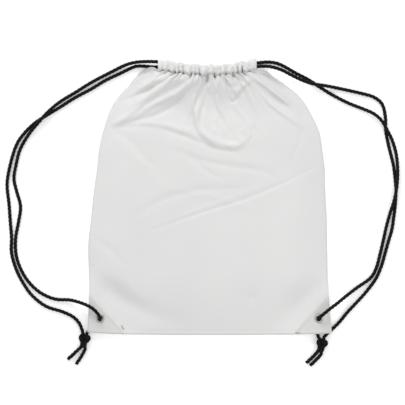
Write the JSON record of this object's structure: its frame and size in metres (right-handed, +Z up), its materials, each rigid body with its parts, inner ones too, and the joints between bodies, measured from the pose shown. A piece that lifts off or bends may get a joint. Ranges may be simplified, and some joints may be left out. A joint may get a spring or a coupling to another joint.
{
  "type": "drawstring backpack",
  "caption": "Flat fabric sack with a gathered drawstring mouth; cords through side-exit casings double as shoulder straps, knotted at eyelets in reinforced bottom corners.",
  "frame": {"origin": "middle of the bag's underside, with the bag lying on its back on a floor, cords left out", "axes": "+Y from the bottom hem to the drawn mouth, +X to the right strap as seen from the front, +Z up out of the front panel"},
  "size_m": [0.5513, 0.4293, 0.0217],
  "materials": {
    "bag_fabric": "plain-woven polyester, coated inside, slight sheen",
    "seam_thread": "overlocked spun thread",
    "cord": "twisted black polyester cord",
    "eyelet_metal": "nickel-plated brass, polished"
  },
  "bodies": {
    "bag": {"back_panel": "bag_fabric", "front_panel": "bag_fabric", "back_casing": "bag_fabric", "front_casing": "bag_fabric", "bottom_seam": "seam_thread", "left_side_seam": "seam_thread", "right_side_seam": "seam_thread", "left_front_corner_patch": "bag_fabric", "left_back_corner_patch": "bag_fabric", "right_front_corner_patch": "bag_fabric", "right_back_corner_patch": "bag_fabric", "left_eyelet": "eyelet_metal", "left_eyelet_washer": "eyelet_metal", "right_eyelet": "eyelet_metal", "right_eyelet_washer": "eyelet_metal", "left_shoulder_cord_to_eyelet": "cord", "left_shoulder_cord_upper": "cord", "left_shoulder_cord_lower": "cord", "right_shoulder_cord_to_eyelet": "cord", "right_shoulder_cord_upper": "cord", "right_shoulder_cord_lower": "cord"},
    "left_drawcord": {"left_drawcord_run": "cord"},
    "right_drawcord": {"right_drawcord_run": "cord"},
    "left_knot_end": {"left_knot": "cord", "left_eyelet_loop": "cord", "left_cord_tail_1": "cord", "left_cord_tail_2": "cord"},
    "right_knot_end": {"right_knot": "cord", "right_eyelet_loop": "cord", "right_cord_tail_1": "cord", "right_cord_tail_2": "cord"}
  },
  "joints": [
    {"name": "left_drawcord_slide", "type": "slide", "parent": "bag", "child": "left_drawcord", "axis": [1, 0, 0], "range_m": [0, 0.012], "deforming": ["left_shoulder_cord_to_eyelet", "left_shoulder_cord_upper"]},
    {"name": "right_drawcord_slide", "type": "slide", "parent": "bag", "child": "right_drawcord", "axis": [-1, 0, 0], "range_m": [0, 0.012], "deforming": ["right_shoulder_cord_to_eyelet", "right_shoulder_cord_upper"]},
    {"name": "left_knot_swing", "type": "hinge", "parent": "bag", "child": "left_knot_end", "pos_m": [-0.1525, -0.1685, 0.0064], "axis": [0, 0, 1], "range_deg": [-25, 25], "deforming": ["left_shoulder_cord_lower"]},
    {"name": "right_knot_swing", "type": "hinge", "parent": "bag", "child": "right_knot_end", "pos_m": [0.1525, -0.1685, 0.0064], "axis": [0, 0, 1], "range_deg": [-25, 25], "deforming": ["right_shoulder_cord_lower"]}
  ]
}
